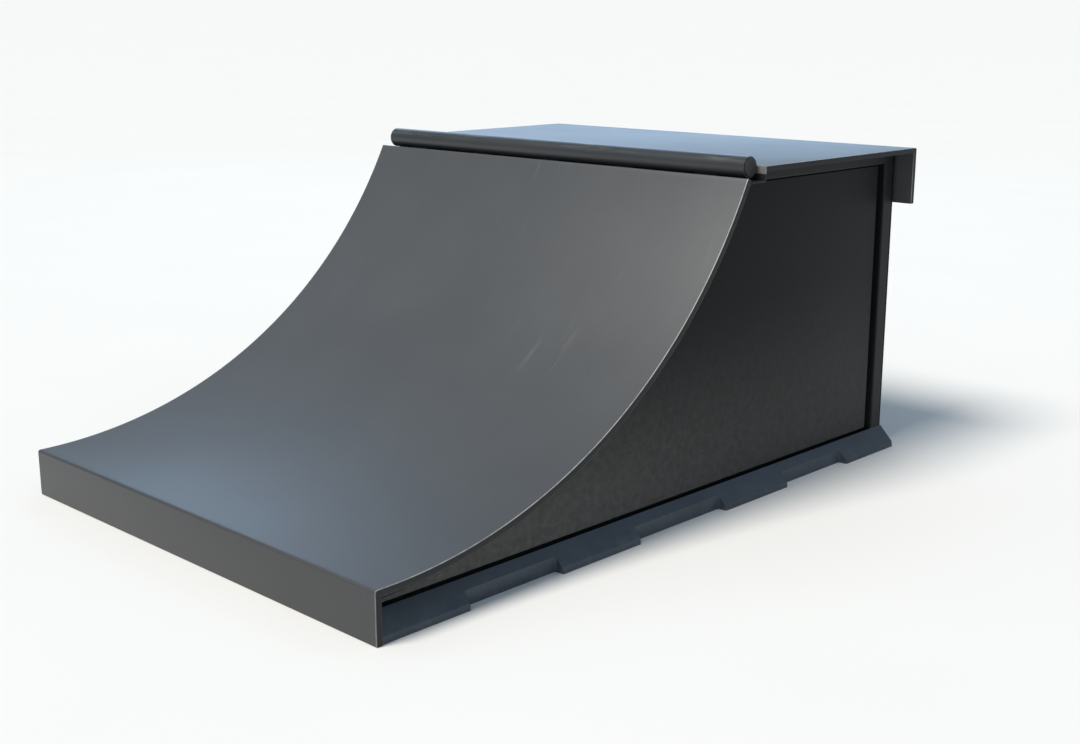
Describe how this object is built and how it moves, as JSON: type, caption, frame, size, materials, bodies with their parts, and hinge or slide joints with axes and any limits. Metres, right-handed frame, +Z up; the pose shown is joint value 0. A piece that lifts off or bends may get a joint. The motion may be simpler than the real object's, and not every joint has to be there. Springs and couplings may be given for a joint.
{
  "type": "quarter pipe ramp module",
  "caption": "Skate ramp module: curved riding sheet with apron, round coping, flat deck with a rear hook lip, notched skirts, screw feet and a rear access hatch.",
  "frame": {"origin": "centre of the footprint on the ground", "axes": "+Z up, +Y from the low front to the deck's rear edge, X across the ramp and symmetric about the middle"},
  "size_m": [1.22, 1.75, 0.7871],
  "materials": {
    "composite_sheet": "fine-grained satin, dark grey",
    "coping_steel": "satin powder coat, worn along the grind line",
    "frame_steel": "satin powder coat",
    "panel_steel": "satin powder coat",
    "skirt_rubber": "satin moulded",
    "plug_plastic": "moulded",
    "zinc_hardware": "zinc plated",
    "hinge_steel": "satin powder coat",
    "latch_black": "moulded",
    "foot_rubber": "matt"
  },
  "bodies": {
    "ramp": {"ride_sheet": "composite_sheet", "deck_sheet": "composite_sheet", "coping_channel": "frame_steel", "coping_tube": "coping_steel", "coping_saddles": "frame_steel", "coping_bolts": "zinc_hardware", "coping_weld_nuts": "zinc_hardware", "coping_plug_left": "plug_plastic", "coping_plug_right": "plug_plastic", "base_rail_left": "frame_steel", "base_rail_right": "frame_steel", "rear_post_left": "frame_steel", "rear_post_right": "frame_steel", "top_rail_left": "frame_steel", "top_rail_right": "frame_steel", "curved_rib_left": "frame_steel", "curved_rib_right": "frame_steel", "crest_gussets": "frame_steel", "side_panel_left": "panel_steel", "side_panel_right": "panel_steel", "panel_backing_left": "frame_steel", "panel_backing_right": "frame_steel", "panel_blocks": "frame_steel", "panel_screws": "zinc_hardware", "skirt_left": "skirt_rubber", "skirt_right": "skirt_rubber", "skirt_bolts": "zinc_hardware", "inner_rib_left": "frame_steel", "inner_rib_right": "frame_steel", "ride_joists": "frame_steel", "deck_joists": "frame_steel", "front_cross_rail": "frame_steel", "rear_sill": "frame_steel", "rear_header": "frame_steel", "rear_panel": "panel_steel", "rear_jamb_left": "frame_steel", "rear_jamb_right": "frame_steel", "rear_screws": "zinc_hardware", "hinge_fixed_leaves": "hinge_steel", "hinge_pins": "zinc_hardware", "foot_brackets": "frame_steel", "foot_nuts": "zinc_hardware"},
    "hatch": {"access_hatch": "panel_steel", "hinge_moving_leaves": "hinge_steel"},
    "latch_lower": {"latch_grip_lower": "latch_black", "latch_collar_lower": "zinc_hardware", "latch_cam_lower": "zinc_hardware"},
    "latch_upper": {"latch_grip_upper": "latch_black", "latch_collar_upper": "zinc_hardware", "latch_cam_upper": "zinc_hardware"},
    "foot_front_left": {"foot_spindle_front_left": "zinc_hardware", "foot_pad_front_left": "foot_rubber"},
    "foot_front_right": {"foot_spindle_front_right": "zinc_hardware", "foot_pad_front_right": "foot_rubber"},
    "foot_rear_left": {"foot_spindle_rear_left": "zinc_hardware", "foot_pad_rear_left": "foot_rubber"},
    "foot_rear_right": {"foot_spindle_rear_right": "zinc_hardware", "foot_pad_rear_right": "foot_rubber"}
  },
  "joints": [
    {"name": "hatch_swing", "type": "hinge", "parent": "ramp", "child": "hatch", "pos_m": [-0.3, 0.8524, 0.34], "axis": [0, 0, 1], "range_deg": [0, 110]},
    {"name": "latch_lower_turn", "type": "hinge", "parent": "hatch", "child": "latch_lower", "pos_m": [0.27, 0.846, 0.215], "axis": [0, -1, 0], "range_deg": [0, 90]},
    {"name": "latch_upper_turn", "type": "hinge", "parent": "hatch", "child": "latch_upper", "pos_m": [0.27, 0.846, 0.465], "axis": [0, -1, 0], "range_deg": [0, 90]},
    {"name": "foot_front_left_screw", "type": "slide", "parent": "ramp", "child": "foot_front_left", "axis": [0, 0, -1], "range_m": [0, 0.02]},
    {"name": "foot_front_right_screw", "type": "slide", "parent": "ramp", "child": "foot_front_right", "axis": [0, 0, -1], "range_m": [0, 0.02]},
    {"name": "foot_rear_left_screw", "type": "slide", "parent": "ramp", "child": "foot_rear_left", "axis": [0, 0, -1], "range_m": [0, 0.02]},
    {"name": "foot_rear_right_screw", "type": "slide", "parent": "ramp", "child": "foot_rear_right", "axis": [0, 0, -1], "range_m": [0, 0.02]}
  ]
}
